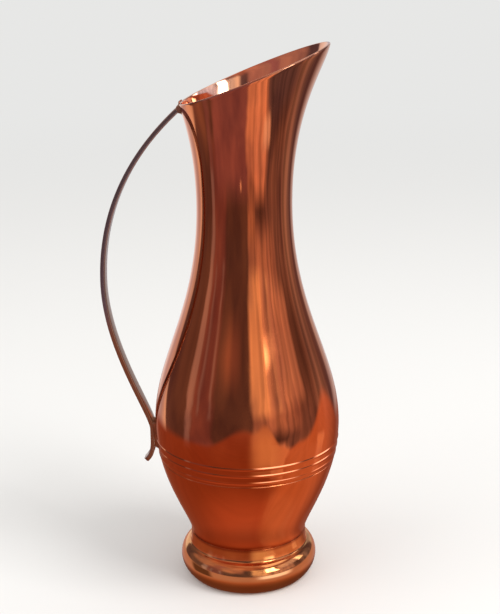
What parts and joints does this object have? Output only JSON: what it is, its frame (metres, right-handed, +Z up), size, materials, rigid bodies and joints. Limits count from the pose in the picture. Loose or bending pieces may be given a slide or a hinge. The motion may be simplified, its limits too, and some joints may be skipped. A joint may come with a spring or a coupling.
{
  "type": "copper water jug",
  "caption": "Tall spun copper jug for holding and pouring water, with a slanted trumpet mouth, reeded belly, bulging foot and flat strip handle.",
  "frame": {"origin": "centre of the foot's flat underside, on the jug's axis", "axes": "+Z up along the jug's axis, +X towards the spout, -X towards the handle"},
  "size_m": [0.109, 0.086, 0.25],
  "materials": {
    "polished_copper": "polished copper under clear lacquer, with fine turning marks",
    "foot_copper": "polished golden copper, softer than the body",
    "handle_copper": "brushed copper strip with darker cut edges",
    "solder": "dull filed solder"
  },
  "bodies": {
    "root": {"upper_shell": "polished_copper", "lower_bowl": "polished_copper", "foot_dish": "foot_copper", "handle_strap": "handle_copper", "belly_seam_solder": "solder", "foot_seam_solder": "solder", "handle_top_solder": "solder", "handle_lower_solder": "solder"}
  },
  "joints": []
}
